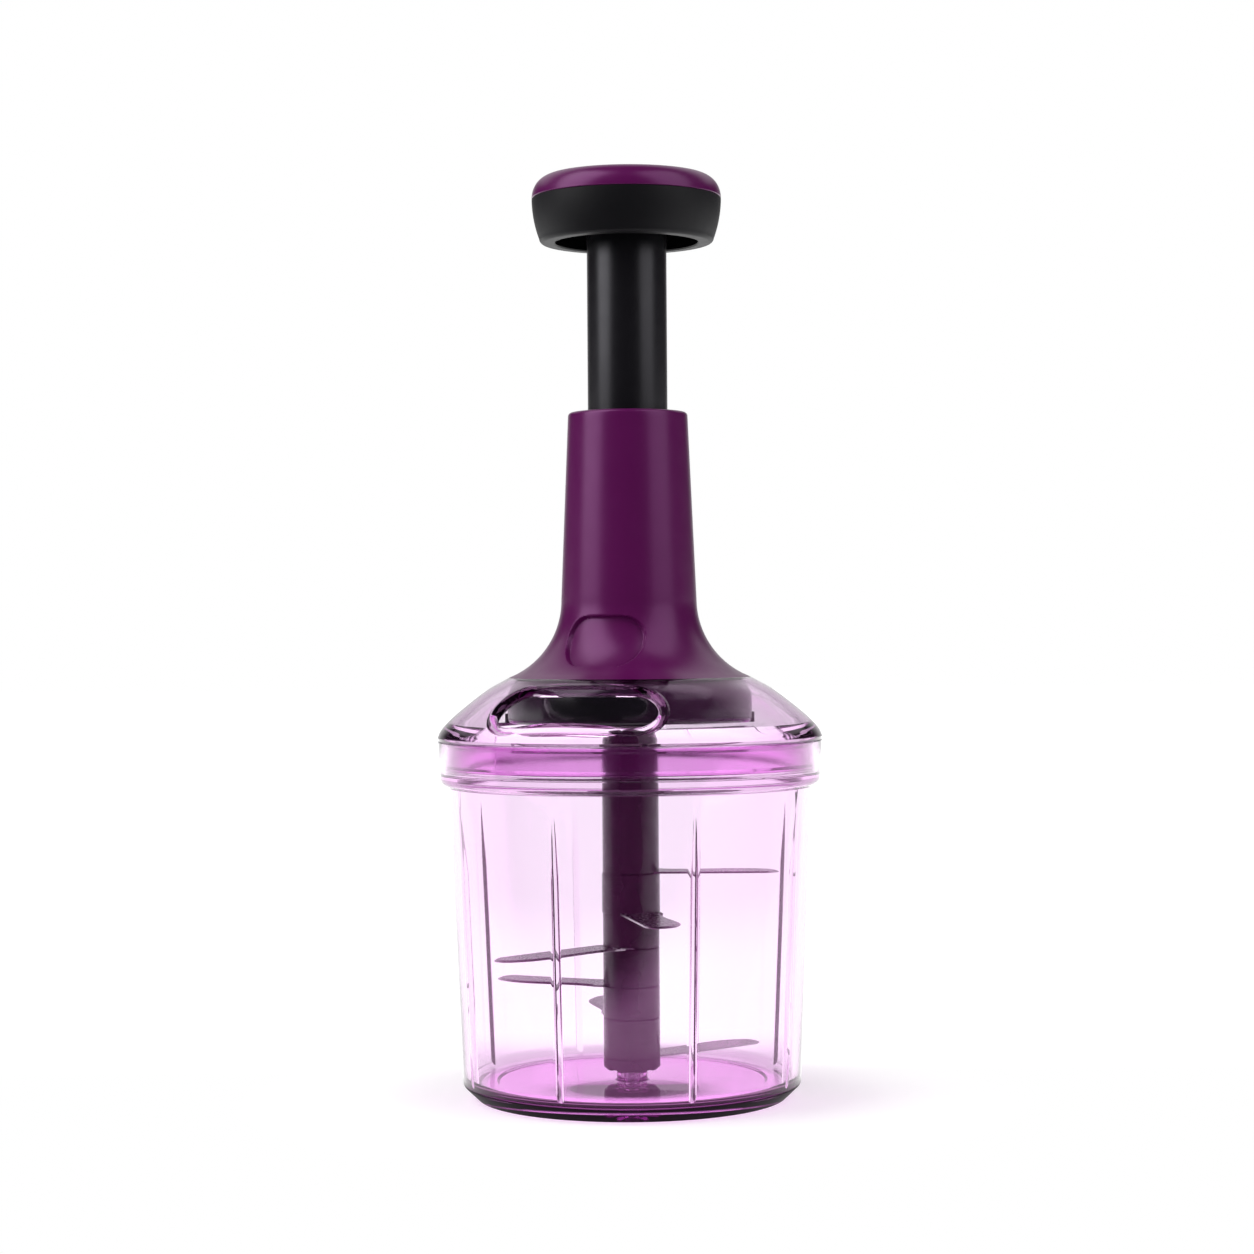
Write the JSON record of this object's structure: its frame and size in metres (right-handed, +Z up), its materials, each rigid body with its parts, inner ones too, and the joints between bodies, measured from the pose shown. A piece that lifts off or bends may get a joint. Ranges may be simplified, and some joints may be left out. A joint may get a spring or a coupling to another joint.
{
  "type": "plunger food chopper",
  "caption": "Hand-pressed food chopper: clear tapered bowl, domed lid with an oval feed opening, and a sprung plunger whose spiral drive spins a column of blades.",
  "frame": {"origin": "centre of the bowl's base, on the surface it stands on", "axes": "+Z up along the plunger, -Y towards the front, +X to the right seen from the front"},
  "size_m": [0.125, 0.125, 0.3008],
  "materials": {
    "clear_bowl": "clear, lightly tinted lilac, polished",
    "clear_lid": "clear, lightly tinted lilac, polished",
    "purple_housing": "satin moulded",
    "black_plastic": "satin moulded",
    "black_gloss": "polished",
    "column_plastic": "semi-gloss moulded",
    "blade_steel": "ground",
    "steel": "turned",
    "spring_steel": "drawn wire",
    "acetal": "natural",
    "silicone": "translucent magenta silicone"
  },
  "bodies": {
    "bowl": {"bowl": "clear_bowl", "pivot_pin": "steel"},
    "lid_unit": {"lid": "clear_lid", "lid_gasket": "silicone", "neck_housing": "purple_housing", "guide_bush": "black_plastic", "drive_housing": "black_gloss", "drive_cover": "black_gloss", "housing_screws": "steel", "cover_screws": "steel", "output_bush": "acetal", "spring_seat": "steel", "return_spring": "spring_steel"},
    "plunger": {"plunger_tube": "black_plastic", "drive_nut": "acetal", "knob_body": "black_plastic", "knob_cap": "purple_housing", "knob_screw": "steel"},
    "rotor": {"spiral_spindle": "steel", "ratchet_wheel": "acetal", "pawl_ring": "acetal", "drive_socket": "black_gloss", "thrust_washer": "acetal"},
    "blade_pivot": {"pivot_bush": "acetal"},
    "blade_stack": {"blade_core": "column_plastic", "column_foot": "column_plastic", "column_sleeve": "column_plastic", "spacer_1": "column_plastic", "spacer_2": "column_plastic", "spacer_3": "column_plastic", "spacer_4": "column_plastic", "spacer_5": "column_plastic", "blade_1": "blade_steel", "blade_2": "blade_steel", "blade_3": "blade_steel", "blade_4": "blade_steel", "blade_5": "blade_steel", "blade_6": "blade_steel"}
  },
  "joints": [
    {"name": "lid_lift", "type": "slide", "parent": "bowl", "child": "lid_unit", "axis": [0, 0, 1], "range_m": [0, 0.33]},
    {"name": "plunger_press", "type": "slide", "parent": "lid_unit", "child": "plunger", "axis": [0, 0, 1], "range_m": [-0.058, 0], "stiffness_N_per_m": 150, "springref_m": 0.03, "deforming": ["return_spring"]},
    {"name": "rotor_spin", "type": "hinge", "parent": "lid_unit", "child": "rotor", "pos_m": [0, 0, 0.12], "axis": [0, 0, 1], "range_deg": [-2, 750]},
    {"name": "blade_lift", "type": "slide", "parent": "bowl", "child": "blade_pivot", "axis": [0, 0, 1], "range_m": [0, 0.134]},
    {"name": "blade_spin", "type": "hinge", "parent": "blade_pivot", "child": "blade_stack", "pos_m": [0, 0, 0.01], "axis": [0, 0, 1], "range_deg": [-2, 750]}
  ],
  "couplings": [
    {"joint": "rotor_spin", "follows": "plunger_press", "rad_per_m": -224.4},
    {"joint": "blade_spin", "follows": "plunger_press", "rad_per_m": -224.4},
    {"joint": "blade_lift", "follows": "lid_lift", "ratio": 0.4}
  ]
}
